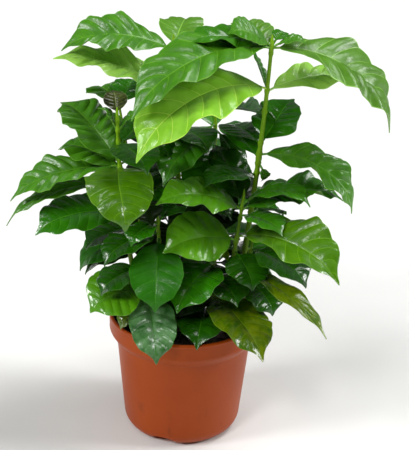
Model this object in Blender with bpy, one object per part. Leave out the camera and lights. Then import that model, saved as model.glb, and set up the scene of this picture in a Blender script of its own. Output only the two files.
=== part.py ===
"""A coffee plant in a nursery pot, as a Blender script: ten seedlings from one sowing, each with its own
stem and its own mass of leaves, in a terracotta-coloured plastic pot filled with potting soil.

The origin is the middle of the pot's flat underside. +Z is up, +X is to the right as one faces the plant,
and the one who faces it stands on the -Y side. Sizes are in millimetres and angles in degrees until a mesh
is made; an azimuth of 0 points along +X and one of 90 along +Y.
"""

import math
import random
from collections import namedtuple

import bmesh
import bpy
from mathutils import Vector
from mathutils.bvhtree import BVHTree

MM = 0.001
GAP = 0.3  # between pieces that touch on the real plant

# Pot
POT_HEIGHT = 100.0
RIM_RADIUS = 60.0
RIM_BAND = 14.0  # height of the upright band under the rim
BAND_RADIUS = 59.3
SHOULDER_DROP = 29.0  # from the rim down to the foot of the sloping shoulder
SHOULDER_RADIUS = 53.0
BASE_RADIUS = 47.5
BASE_ROUND = 12.0
WALL = 1.6
LIP_WIDTH = 3.2
LIP_HEIGHT = 2.4
LIP_ROUND = 0.9
POT_SIDES = 48
SLOT_COUNT = 3  # drain slots, pressed up into the rounded edge of the base
SLOT_AZIMUTH = 245.0
SLOT_RADIUS = 11.0
SLOT_RISE = 5.0
SLOT_REACH = (-11.0, 8.0)  # from the widest radius of the base, inwards and outwards
SLOT_ARCH = (-1, -0.6, 0, 0.6, 1)  # where the arch of a slot has its points, as shares of its radius
SLOT_BELOW = 3.0  # how far the cutter reaches below the base

# Soil
SOIL_LEVEL = 87.0
SOIL_SIDES = 48

# Stems
STEM_SIDES = 8
STEM_RINGS = 9
FLARE_HEIGHT = 12.0
FLARE = 0.7  # how much wider the foot is than the stem above it
TIP_SHARE = 0.5  # of the girth, left at the top
TWIG_SIDES = 6
TWIG_STEP = 24.0
BUD_LENGTH = 5.0
BUD_RADIUS = 0.5

# Leaves
PETIOLE = 6.0
PETIOLE_HALF = 0.8
BLADE_STATIONS = (0.0, 0.13, 0.3, 0.5, 0.7, 0.86, 1.0)
THICKNESS = 1.3
DRIP_TIP_HALF = 0.9
STALK_POINTS = 18  # of a leaf's body: the three stations that lie on its stalk and at the foot of its blade
CLEARANCE = 0.8  # kept between a leaf and everything on other seedlings
TURNS = (0, 5, -5, 10, -10, 16, -16, 24, -24)
LIFTS = (0, 5, -5, 10, -10, 16)
SEED = 11

# A leaf that is listed alone at its height gets one opposite, where that one points away from the front.
PARTNER_AZIMUTHS = (15, 150)
SAME_NODE = 8.0  # leaves nearer than this in height belong to one pair
SAME_SIDE = 50.0  # leaves nearer than this in azimuth stand on one side
PARTNER_TURN = 12.0
PARTNER_RISE = (-18, 4)
PARTNER_LENGTH = (0.85, 1)

# height: where it leaves the stem. azimuth and rise: the way from its foot to its tip. arch: how far it
# rises more at its foot and less at its tip. roll: how far its right side is lowered, seen from the stem.
# fold: how far its halves are raised. sweep: how far it curves sideways, to one side at its foot and to
# the other at its tip.
Leaf = namedtuple("Leaf", "height azimuth rise length width arch roll fold sweep", defaults=(0, 10, 0))

# foot and top: the ends of the stem. bow: how far its middle stands off the line between them. girth: its
# radius low down. crown: the height above which it is part of its mass of leaves.
Seedling = namedtuple("Seedling", "name foot top bow girth crown leaves")

SEEDLINGS = (
    Seedling("right", (38, 6), (57, 0, 316), (3, 0), 2.6, 136, (
        Leaf(311, 211, -18, 128, 50, 32, -10),
        Leaf(311, 355, -31, 119, 54, 39, 15),
        Leaf(312, 205, 24, 38, 33, 18, -25),
        Leaf(311, 196, 6, 68, 29, 20, -15),
        Leaf(309, 128, 18, 46, 32, 30, 0),
        Leaf(312, 40, 40, 18, 14, 15, 10),
        Leaf(311, 345, 30, 27, 15, 20, 10),
        Leaf(281, 216, -17, 130, 54, 38, -18),
        Leaf(279, 22, -2, 94, 34, 27, 15),
        Leaf(280, 105, 30, 46, 20, 10, 50),
        Leaf(238, 42, 47, 45, 47, 0, 0),
        Leaf(224, 318, -58, 16, 11, 20, 0),
        Leaf(262, 136, -9, 50, 36, 12, 0),
        Leaf(230, 344, -25, 93, 38, 42, 13),
        Leaf(227, 120, 9, 70, 22, 12, -10),
        Leaf(186, 70, -6, 66, 38, 20, 0),
        Leaf(184, 25, -8, 32, 30, 20, 0),
        Leaf(150, 40, -10, 64, 36, 20, 0),
        Leaf(145, 12, -14, 40, 34, 20, 0),
        Leaf(146, 105, -15, 60, 34, 20, 0),
    )),
    Seedling("centre_right", (30, -6), (42, -12, 203), (0, 0), 2.2, 138, (
        Leaf(191, 207, 14, 76, 36, 25, -20),
        Leaf(194, 338, 12, 62, 22, 45, 10),
        Leaf(190, 6, 8, 84, 38, 30, 10),
        Leaf(194, 112, 41, 58, 34, 10, 0),
        Leaf(186, 320, -2, 42, 32, 22, 0),
        Leaf(165, 209, 3, 65, 44, 24, -35),
        Leaf(168, 320, -4, 100, 49, 32, 14, 24),
        Leaf(156, 294, -24, 40, 36, 20, 0),
        Leaf(143, 320, -16, 98, 20, 20, 0),
    )),
    Seedling("left", (-33, 2), (-53, -6, 261), (-4, 0), 2.3, 170, (
        Leaf(221, 143, 35, 72, 55, 15, 0),
        Leaf(217, 160, 14, 56, 42, 26, -10),
        Leaf(220, 191, -14, 88, 38, 20, -10),
        Leaf(206, 186, -18, 99, 24, 28, -8, 10, 14),
        Leaf(218, 281, -23, 72, 50, 42, 0, 10, -15),
        Leaf(221, 50, -3, 36, 34, 20, 0),
        Leaf(181, 205, -3, 74, 44, 25, -20),
        Leaf(180, 12, -8, 38, 30, 20, 0),
        Leaf(257, 105, 56, 24, 18, 6, 0),
        Leaf(246, 175, 62, 24, 12, 10, 0),
        Leaf(246, 10, 52, 24, 12, 10, 0),
        Leaf(236, 50, 22, 46, 34, 12, 0),
    )),
    Seedling("middle", (-15, -8), (-22, -24, 190), (0, 0), 2.0, 128, (
        Leaf(170, 269, -40, 62, 40, 22, 0),
        Leaf(174, 218, -12, 54, 36, 25, 0),
        Leaf(183, 235, -8, 36, 24, 25, 0),
    )),
    Seedling("back", (-6, 34), (-14, 40, 306), (2, 0), 2.5, 180, (
        Leaf(298, 190, 3, 90, 44, 28, -18),
        Leaf(300, 80, 14, 60, 35, 20, 0),
        Leaf(298, 305, 5, 50, 28, 20, 0),
        Leaf(267, 190, 18, 98, 35, 14, -25),
        Leaf(228, 165, -5, 60, 36, 20, 0),
        Leaf(214, 120, -8, 56, 34, 20, 0),
        Leaf(224, 60, -3, 56, 34, 20, 0),
        Leaf(208, 205, -13, 38, 32, 20, 0),
        Leaf(200, 233, -13, 56, 42, 20, 0),
        Leaf(186, 270, -6, 46, 32, 20, 0),
        Leaf(197, 325, -20, 60, 34, 20, 0),
    )),
    Seedling("low_centre", (16, -2), (22, -8, 150), (0, 0), 1.9, 100, (
        Leaf(117, 302, -14, 82, 47, 20, 0),
        Leaf(107, 262, -5, 62, 40, 25, 0),
        Leaf(145, 241, -15, 62, 47, 20, 0),
        Leaf(134, 312, -5, 46, 36, 20, 0),
    )),
    Seedling("low_left", (-26, -22), (-32, -28, 150), (0, 0), 1.8, 104, (
        Leaf(130, 211, -8, 50, 48, 25, -20),
        Leaf(126, 282, -30, 64, 36, 25, 0),
        Leaf(148, 215, -10, 42, 36, 25, 0),
        Leaf(114, 215, -20, 29, 20, 18, 0),
    )),
    Seedling("low_right", (44, -2), (51, -10, 174), (0, 0), 1.9, 118, (
        Leaf(157, 322, -13, 57, 44, 22, 0),
        Leaf(132, 308, -30, 40, 38, 20, 0),
    )),
    Seedling("back_left", (-24, 30), (-55, 34, 258), (0, 0), 2.0, 120, (
        Leaf(254, 128, 22, 34, 38, 18, 0),
        Leaf(254, 66, 36, 34, 30, 15, 0),
        Leaf(208, 60, -10, 50, 42, 20, 0),
        Leaf(196, 150, -5, 74, 38, 20, 0),
        Leaf(150, 200, -22, 62, 46, 25, 0),
        Leaf(162, 285, -12, 44, 38, 20, 0),
        Leaf(156, 218, -8, 52, 44, 20, 0),
        Leaf(140, 202, -15, 56, 36, 20, 0),
        Leaf(152, 120, -10, 64, 36, 20, 0),
    )),
    Seedling("back_right", (24, 34), (20, 46, 244), (0, 0), 2.2, 118, (
        Leaf(240, 232, -26, 75, 38, 18, 0),
        Leaf(227, 258, -33, 60, 42, 20, 0),
        Leaf(236, 305, -40, 46, 20, 15, 0),
        Leaf(234, 88, 5, 70, 36, 20, 0),
        Leaf(197, 145, -10, 56, 34, 20, 0),
        Leaf(206, 70, 0, 70, 38, 20, 0),
        Leaf(166, 30, 0, 62, 40, 20, 0),
        Leaf(178, 235, -10, 60, 36, 20, 0),
        Leaf(187, 286, -20, 34, 28, 20, 0),
        Leaf(176, 272, -12, 36, 38, 20, 0),
        Leaf(126, 255, -15, 36, 34, 20, 0),
        Leaf(122, 290, -12, 42, 32, 20, 0),
        Leaf(124, 347, -8, 56, 34, 20, 0),
        Leaf(176, 75, -5, 72, 38, 20, 0),
        Leaf(144, 215, -10, 60, 40, 20, 0),
        Leaf(148, 15, -8, 66, 36, 20, 0),
    )),
)


def deg_direction(azimuth, rise):
    """The unit vector that points to an azimuth and rises by an angle."""
    flat = math.cos(math.radians(rise))
    turn = math.radians(azimuth)
    return Vector((flat * math.cos(turn), flat * math.sin(turn), math.sin(math.radians(rise))))


def stem_point(seedling, height):
    """The middle of a seedling's stem at a height above the pot's underside."""
    top = Vector(seedling.top)
    foot = Vector((*seedling.foot, SOIL_LEVEL + GAP))
    share = (height - foot.z) / (top.z - foot.z)
    bend = 4 * share * (1 - share)
    point = foot.lerp(top, share)
    return point + Vector((*seedling.bow, 0)) * bend


def stem_radius(seedling, height):
    """The stem's radius: a flared foot, then a slow taper to the tip."""
    top = seedling.top[2]
    above = height - SOIL_LEVEL
    taper = 1 - (1 - TIP_SHARE) * above / (top - SOIL_LEVEL)
    return seedling.girth * (taper + FLARE * math.exp(-3 * above / FLARE_HEIGHT))


def blade_half_width(share):
    """The half width of a coffee leaf at a share of its blade, as a share of the widest: long and oval,
    with a narrow drip tip."""
    body = math.sin(math.pi * share**0.88) ** 0.8 if 0 < share < 1 else 0.0
    ease = min(max((share - 0.7) / 0.25, 0.0), 1.0)
    return body * (1 - 0.5 * ease * ease * (3 - 2 * ease))


def leaf_frames(seedling, leaf, distances):
    """The midrib's point, side and normal at each distance from the stem's middle."""
    steps = 48
    step = leaf.length / steps
    point = stem_point(seedling, leaf.height)
    midrib = [point]
    for number in range(steps):
        share = (number + 0.5) / steps
        before_middle = 1 - 2 * share
        azimuth = leaf.azimuth + leaf.sweep * before_middle
        point = point + deg_direction(azimuth, leaf.rise + leaf.arch * before_middle) * step
        midrib.append(point)
    frames = []
    for distance in distances:
        place = min(distance / step, steps - 0.001)
        low = int(place)
        before_middle = 1 - 2 * distance / leaf.length
        spot = midrib[low].lerp(midrib[low + 1], place - low)
        azimuth = leaf.azimuth + leaf.sweep * before_middle
        along = deg_direction(azimuth, leaf.rise + leaf.arch * before_middle)
        flat_side = deg_direction(azimuth - 90, 0)
        up = flat_side.cross(along)
        roll = math.radians(leaf.roll)
        side = flat_side * math.cos(roll) - up * math.sin(roll)
        frames.append((spot, side, side.cross(along)))
    return frames


def leaf_body(seedling, leaf, extra=0.0):
    """A leaf as points and faces: six points at each station, three above and three below."""
    blade = leaf.length - PETIOLE
    distances = [0.0] + [PETIOLE + blade * share for share in BLADE_STATIONS]
    halves = [PETIOLE_HALF]
    halves += [max(leaf.width / 2 * blade_half_width(share), DRIP_TIP_HALF) for share in BLADE_STATIONS]
    fold = math.radians(leaf.fold)
    points = []
    for (spot, side, normal), half in zip(leaf_frames(seedling, leaf, distances), halves):
        half += extra
        reach = side * (half * math.cos(fold))
        lift = normal * (half * math.sin(fold))
        thick = normal * (THICKNESS / 2 + extra)
        edges = (spot - reach + lift, spot, spot + reach + lift)
        points += [edge + thick for edge in edges]
        points += [edge - thick for edge in reversed(edges)]
    faces = []
    for ring in range(len(distances) - 1):
        for corner in range(6):
            a = ring * 6 + corner
            b = ring * 6 + (corner + 1) % 6
            faces.append((a, b, b + 6, a + 6))
    last = len(points) - 6
    faces += [(0, 5, 4, 1), (1, 4, 3, 2)]
    faces += [(last, last + 1, last + 4, last + 5), (last + 1, last + 2, last + 3, last + 4)]
    return points, faces


def tube(centres, radii, sides):
    """A closed tube of level rings as points and faces."""
    points = []
    for centre, radius in zip(centres, radii):
        for number in range(sides):
            turn = 2 * math.pi * number / sides
            points.append(centre + Vector((radius * math.cos(turn), radius * math.sin(turn), 0)))
    faces = [tuple(reversed(range(sides)))]
    for ring in range(len(centres) - 1):
        for number in range(sides):
            a = ring * sides + number
            b = ring * sides + (number + 1) % sides
            faces.append((a, b, b + sides, a + sides))
    faces.append(tuple(range(len(points) - sides, len(points))))
    return points, faces


def new_object(name, points, faces, material):
    """An object from points in millimetres."""
    mesh = bpy.data.meshes.new(name)
    mesh.from_pydata([point * MM for point in points], [], faces)
    mesh.materials.append(material)
    thing = bpy.data.objects.new(name, mesh)
    bpy.context.scene.collection.objects.link(thing)
    shape = bmesh.new()
    shape.from_mesh(mesh)
    bmesh.ops.recalc_face_normals(shape, faces=shape.faces)
    shape.to_mesh(mesh)
    shape.free()
    return thing


def plain_material(name, colour, roughness):
    material = bpy.data.materials.new(name)
    material.use_nodes = True
    shader = material.node_tree.nodes["Principled BSDF"]
    shader.inputs["Base Color"].default_value = (*colour, 1)
    shader.inputs["Roughness"].default_value = roughness
    shader.inputs["Metallic"].default_value = 0
    return material


def lathe(name, profile, sides, material):
    """An object of revolution about Z from (radius, height) points; the first and last lie on the axis."""
    ring_points = profile[1:-1]
    points = [Vector((0, 0, profile[0][1]))]
    for radius, height in ring_points:
        for number in range(sides):
            turn = 2 * math.pi * number / sides
            points.append(Vector((radius * math.cos(turn), radius * math.sin(turn), height)))
    points.append(Vector((0, 0, profile[-1][1])))
    last = len(points) - 1
    faces = []
    for number in range(sides):
        after = (number + 1) % sides
        faces.append((0, 1 + number, 1 + after))
        faces.append((last, last - sides + number, last - sides + after))
        for ring in range(len(ring_points) - 1):
            a = 1 + ring * sides
            faces.append((a + number, a + after, a + sides + after, a + sides + number))
    return new_object(name, points, faces, material)


def boolean(target, operation, solver="EXACT", cutter=None, collection=None):
    """Applies one Boolean to the target and removes what it used up."""
    modifier = target.modifiers.new(operation.title(), "BOOLEAN")
    modifier.operation = operation
    modifier.solver = solver
    if collection:
        modifier.operand_type = "COLLECTION"
        modifier.collection = collection
    else:
        modifier.object = cutter
    bpy.context.view_layer.objects.active = target
    bpy.ops.object.modifier_apply(modifier=modifier.name)
    used = list(collection.objects) if collection else [cutter]
    for thing in used:
        bpy.data.objects.remove(thing)
    if collection:
        bpy.data.collections.remove(collection)


def rounded_base(radius, low, round_radius, steps=5):
    """Points of a quarter circle from the flat base up to the wall."""
    points = []
    for number in range(steps + 1):
        turn = math.radians(90) * number / steps
        across = radius - round_radius + round_radius * math.sin(turn)
        points.append((across, low + round_radius - round_radius * math.cos(turn)))
    return points


def shoulder(offset, steps=4):
    """Points from the foot of the shoulder up to the foot of the rim band."""
    low = POT_HEIGHT - SHOULDER_DROP
    high = POT_HEIGHT - RIM_BAND
    points = []
    for number in range(steps + 1):
        share = number / steps
        ease = share * share * (3 - 2 * share)
        radius = SHOULDER_RADIUS + (BAND_RADIUS - SHOULDER_RADIUS) * ease
        points.append((radius - offset, low + (high - low) * share))
    return points


def slot_body(azimuth):
    """The cutter of one drain slot: a low arch that reaches out through the edge of the base."""
    outwards = deg_direction(azimuth, 0)
    across = deg_direction(azimuth + 90, 0)
    down = Vector((0, 0, -SLOT_BELOW))
    points = []
    for reach in SLOT_REACH:
        centre = outwards * (BASE_RADIUS + reach)
        for share in SLOT_ARCH:
            arch = math.sqrt(1 - share * share)
            points.append(centre + across * (SLOT_RADIUS * share) + Vector((0, 0, SLOT_RISE * arch)))
        points += [centre + across * SLOT_RADIUS + down, centre - across * SLOT_RADIUS + down]
    corners = len(points) // 2
    faces = [tuple(range(corners)), tuple(range(2 * corners - 1, corners - 1, -1))]
    for corner in range(corners):
        after = (corner + 1) % corners
        faces.append((corner, corner + corners, after + corners, after))
    return points, faces


def make_pot(material):
    """The pot: a thin shell with a lip, an upright band, a shoulder and a rounded base with drain slots."""
    outside = [(0, 0)] + rounded_base(BASE_RADIUS, 0, BASE_ROUND) + shoulder(0)
    under_lip = POT_HEIGHT - LIP_HEIGHT
    lip = [
        ((BAND_RADIUS + 3 * RIM_RADIUS) / 4, under_lip),
        (RIM_RADIUS, POT_HEIGHT - LIP_ROUND),
        (RIM_RADIUS - LIP_ROUND, POT_HEIGHT),
        (RIM_RADIUS - LIP_WIDTH + LIP_ROUND, POT_HEIGHT),
        (RIM_RADIUS - LIP_WIDTH, POT_HEIGHT - LIP_ROUND),
        (RIM_RADIUS - LIP_WIDTH, under_lip),
        (BAND_RADIUS - WALL, under_lip - WALL),
    ]
    inside = list(reversed(shoulder(WALL)))
    inside += list(reversed(rounded_base(BASE_RADIUS - WALL, WALL, BASE_ROUND - WALL)))
    pot = lathe("pot", outside + lip + inside + [(0, WALL)], POT_SIDES, material)
    for number in range(SLOT_COUNT):
        points, faces = slot_body(SLOT_AZIMUTH + 360 * number / SLOT_COUNT)
        cutter = new_object("slot_cutter", points, faces, material)
        boolean(pot, "DIFFERENCE", cutter=cutter)
    return pot


def make_soil(material):
    """The soil: it fills the pot, clear of its wall, up to a flat top."""
    clear = WALL + GAP
    profile = [(0, clear)] + rounded_base(BASE_RADIUS - clear, clear, BASE_ROUND - clear) + shoulder(clear)
    profile += [(BAND_RADIUS - clear, SOIL_LEVEL), (0, SOIL_LEVEL)]
    return lathe("soil", profile, SOIL_SIDES, material)


def stem_body(seedling):
    """The bare part of a stem, from its flat cut on the soil to where it enters its mass of leaves."""
    low = SOIL_LEVEL + GAP
    high = seedling.crown - GAP
    # The rings lie closer together near the flared foot.
    shares = [(number / (STEM_RINGS - 1)) ** 1.5 for number in range(STEM_RINGS)]
    heights = [low + (high - low) * share for share in shares]
    centres = [stem_point(seedling, height) for height in heights]
    return tube(centres, [stem_radius(seedling, height) for height in heights], STEM_SIDES)


def twig_body(seedling):
    """The leafy part of a stem, inside its mass, with a pointed bud at its tip."""
    low = seedling.crown
    high = seedling.top[2]
    count = max(2, round((high - low) / TWIG_STEP))
    heights = [low + (high - low) * number / count for number in range(count + 1)]
    centres = [stem_point(seedling, height) for height in heights]
    radii = [stem_radius(seedling, height) for height in heights]
    centres.append(centres[-1] + Vector((0, 0, BUD_LENGTH)))
    radii.append(BUD_RADIUS)
    return tube(centres, radii, TWIG_SIDES)


def blade_of(body):
    """A leaf's body without its stalk, which may meet the stalks beside it at the stem."""
    points, faces = body
    return points, [face for face in faces if min(face) >= STALK_POINTS]


def effort(change):
    """How far a change of rise and azimuth moves a leaf; the smallest is tried first."""
    return (abs(change[0]) + abs(change[1]), change)


def tree_of(bodies):
    """One search tree over several bodies."""
    points = []
    faces = []
    for body_points, body_faces in bodies:
        start = len(points)
        points += body_points
        faces += [tuple(start + corner for corner in face) for face in body_faces]
    return BVHTree.FromPolygons(points, faces) if faces else None


def with_partners(seedling, chance):
    """The seedling's listed leaves, and for each leaf that stands alone at its height the one opposite."""
    leaves = list(seedling.leaves)
    for leaf in seedling.leaves:
        opposite = (leaf.azimuth + 180) % 360
        taken = not PARTNER_AZIMUTHS[0] < opposite < PARTNER_AZIMUTHS[1]
        for other in leaves:
            apart = abs((other.azimuth - opposite + 180) % 360 - 180)
            taken = taken or (abs(other.height - leaf.height) < SAME_NODE and apart < SAME_SIDE)
        if not taken:
            leaves.append(leaf._replace(
                azimuth=opposite + chance.uniform(-PARTNER_TURN, PARTNER_TURN),
                rise=chance.uniform(*PARTNER_RISE),
                length=leaf.length * chance.uniform(*PARTNER_LENGTH),
                roll=0,
            ))
    return leaves


def placed_leaves():
    """Each seedling's leaves, turned by small steps until they clear what is already there, or skipped.
    All the listed leaves are placed before any leaf that was added opposite one."""
    chance = random.Random(SEED)
    solid = {seedling.name: [stem_body(seedling), twig_body(seedling)] for seedling in SEEDLINGS}
    blades = {seedling.name: [] for seedling in SEEDLINGS}
    kept = {seedling.name: [] for seedling in SEEDLINGS}
    pot_axis = [Vector((0, 0, 0)), Vector((0, 0, POT_HEIGHT))]
    rim = tree_of([tube(pot_axis, [RIM_RADIUS, RIM_RADIUS], POT_SIDES)])
    waiting = []
    for seedling in SEEDLINGS:
        leaves = with_partners(seedling, chance)
        waiting += [(number >= len(seedling.leaves), seedling, leaf) for number, leaf in enumerate(leaves)]
    waiting.sort(key=lambda entry: entry[0])
    changes = sorted(((lift, turn) for lift in LIFTS for turn in TURNS), key=effort)
    for _, seedling, leaf in waiting:
        others = tree_of([body for name in solid if name != seedling.name for body in solid[name]])
        own = tree_of(blades[seedling.name])
        for lift, turn in changes:
            tried = leaf._replace(azimuth=leaf.azimuth + turn, rise=leaf.rise + lift)
            guard = tree_of([leaf_body(seedling, tried, CLEARANCE)])
            if guard.overlap(others) or guard.overlap(rim):
                continue
            if own and tree_of([blade_of(leaf_body(seedling, tried))]).overlap(own):
                continue
            kept[seedling.name].append(tried)
            solid[seedling.name].append(leaf_body(seedling, tried))
            blades[seedling.name].append(blade_of(solid[seedling.name][-1]))
            break
    return kept


def make_mass(seedling, leaves, material):
    """One mass: the leafy part of the stem with every leaf fused on."""
    mass = new_object(seedling.name + "_foliage", *twig_body(seedling), material)
    collection = bpy.data.collections.new("leaves to fuse")
    bpy.context.scene.collection.children.link(collection)
    for leaf in leaves:
        blade = new_object("blade", *leaf_body(seedling, leaf), material)
        bpy.context.scene.collection.objects.unlink(blade)
        collection.objects.link(blade)
    boolean(mass, "UNION", solver="MANIFOLD", collection=collection)
    return mass


def main():
    for thing in list(bpy.data.objects):
        bpy.data.objects.remove(thing)
    plastic = plain_material("terracotta coloured plastic", (0.35, 0.09, 0.035), 0.45)
    peat = plain_material("potting soil", (0.02, 0.013, 0.009), 0.95)
    bark = plain_material("coffee stem", (0.16, 0.17, 0.05), 0.6)
    green = plain_material("coffee leaf", (0.04, 0.16, 0.02), 0.3)
    make_pot(plastic)
    make_soil(peat)
    leaves = placed_leaves()
    for seedling in SEEDLINGS:
        new_object(seedling.name + "_stem", *stem_body(seedling), bark)
        make_mass(seedling, leaves[seedling.name], green)


main()
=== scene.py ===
"""A coffee plant in a nursery pot, dressed for its portrait: ten seedlings from one sowing in a satin
terracotta-coloured pot of dark peat, on a pale floor under soft studio light.

Sizes of the plant are in millimetres and angles in degrees until a mesh is made; an azimuth of 0 points
along +X and one of 90 along +Y, away from the camera.
"""

import math
import random
from collections import namedtuple

import bpy
import numpy as np
from mathutils import Matrix, Vector, noise
from mathutils.bvhtree import BVHTree


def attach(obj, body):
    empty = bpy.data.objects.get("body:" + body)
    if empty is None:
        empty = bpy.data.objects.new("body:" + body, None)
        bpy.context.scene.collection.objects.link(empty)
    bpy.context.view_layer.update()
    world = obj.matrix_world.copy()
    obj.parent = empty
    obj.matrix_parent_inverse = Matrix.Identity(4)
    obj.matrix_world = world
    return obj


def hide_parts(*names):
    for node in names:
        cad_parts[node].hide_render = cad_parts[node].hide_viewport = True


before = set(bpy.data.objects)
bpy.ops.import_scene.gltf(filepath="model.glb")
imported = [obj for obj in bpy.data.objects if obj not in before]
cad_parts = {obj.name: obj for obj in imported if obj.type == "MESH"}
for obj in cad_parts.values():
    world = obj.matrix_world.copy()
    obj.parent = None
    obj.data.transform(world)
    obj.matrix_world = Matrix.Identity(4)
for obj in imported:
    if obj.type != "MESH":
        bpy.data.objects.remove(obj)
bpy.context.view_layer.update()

MM = 0.001
GAP = 0.3

# Pot
POT_HEIGHT = 100.0
RIM_RADIUS = 60.0
RIM_BAND = 14.0
BAND_RADIUS = 59.3
BASE_RADIUS = 47.5
BASE_ROUND = 12.0
WALL = 1.6
LIP_WIDTH = 3.2
LIP_HEIGHT = 2.4
LIP_STEPS = 8
LIP_CREASE = 0.3
LIP_OVERHANG = 0.15
BAND_DRAFT = 0.3
BAND_BEAD = ((0.05, 0.6), (0.25, 1.0), (0.15, 1.8))  # (out from the band, up from its foot)
POT_STEPS = 144
BASE_STEPS = 10
INSIDE_STEPS = 6
SLOT_COUNT = 3
SLOT_AZIMUTH = 251.0
SLOT_RADIUS = 12.5
SLOT_RISE = 8.0
SLOT_START = 1.0
SLOT_FADE = 4.0
# The shoulder's profile, as (radius, height)
SHOULDER = (
    (53.0, 71.0), (53.25, 73.0), (53.6, 75.5), (54.0, 77.5), (54.15, 78.4), (54.2, 78.7), (54.6, 78.9),
    (54.85, 79.3), (55.3, 80.2), (56.2, 81.4), (57.3, 82.6), (58.2, 83.8), (58.9, 85.0), (59.3, 86.0),
)

# Soil
SOIL_LEVEL = 87.0
SOIL_SIDES = 160
SOIL_RING = 1.35
SOIL_EDGE_DROP = 0.4
SOIL_SINK = 0.5
SOIL_LUMP = 7.0
SOIL_RELIEF = 1.3
SOIL_SLICE = 3.7
SOIL_LAYERS = ((1.0, 1.0), (2.3, 0.5), (5.1, 0.35))  # of the noise: (how much finer, how high)
FLAT_FROM, FLAT_OVER = 0.9, 0.1  # where the top runs out flat at the wall, as shares of its radius

# Crumbs: sizes for a clod of 1 mm, turns in radians
CRUMB_COUNT = 420
CRUMB_SEED = 5
CRUMB_MARGIN = 4.5
CRUMB_SINK = 0.3
CRUMB_SIZE = (0.5, 1.7)
CRUMB_SIZE_POWER = 1.4
CRUMB_WIDTH = (0.5, 1.1)
CRUMB_HEIGHT = (0.4, 0.8)
CRUMB_TURN = (0, 6.28)
CRUMB_TILT = (-0.5, 0.5)
CLOD_RELIEF = 0.45
CLOD_LUMPS = 1.4

# Stems
STEM_SIDES = 8
STEM_RINGS = 9
FLARE_HEIGHT = 12.0
FLARE = 0.7
TIP_SHARE = 0.5
TWIG_SIDES = 6
TWIG_STEP = 24.0
BUD_LENGTH = 5.0
BUD_RADIUS = 0.5
FINE_SIDES = 20
FINE_STEP = 1.3
STEM_BURIED = 1.5
NODE_STEP = 4  # leaves this near each other share a swelling
NODE_SWELL = 0.75
NODE_SPREAD = 2.0
NODE_ABOVE = 0.6  # how strong a swelling is above its node
BARK_ROUND, BARK_UP, BARK_APART = 2.2, 0.14, 9
BARK_RELIEF, FINE_RELIEF, FINER = 0.07, 0.035, 3.1
BUD_RINGS = (0.25, 0.5, 0.75, 0.92, 1.0)
BUD_ROUND = 0.6
BUD_END = 0.08
BUD_FLAT = 0.7

# Leaves
PETIOLE = 6.0
PETIOLE_HALF = 0.8
BLADE_STATIONS = (0.0, 0.13, 0.3, 0.5, 0.7, 0.86, 1.0)
THICKNESS = 1.3
DRIP_TIP_HALF = 0.9
STALK_POINTS = 18
MIDRIB_STEPS = 48
RIM_SIDES = 48
CLEARANCE = 0.8
TURNS = (0, 5, -5, 10, -10, 16, -16, 24, -24)
LIFTS = (0, 5, -5, 10, -10, 16)
SEED = 11
PARTNER_AZIMUTHS = (15, 150)  # partners are only added at the back
SAME_NODE = 8.0
SAME_SIDE = 50.0
PARTNER_TURN = 12.0
PARTNER_RISE = (-18, 4)
PARTNER_LENGTH = (0.85, 1)

# arch and sweep: how far the midrib bends, down and sideways. tone: which of the leaf colours. roll: the turn
# about the midrib. fold: how far each half of the blade stands up. ruffle: how strongly the margin is waved.
Leaf = namedtuple(
    "Leaf", "height azimuth rise length width arch tone roll fold sweep ruffle", defaults=(0, 10, 0, 1),
)
Seedling = namedtuple("Seedling", "name foot top bow girth crown leaves")

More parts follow.
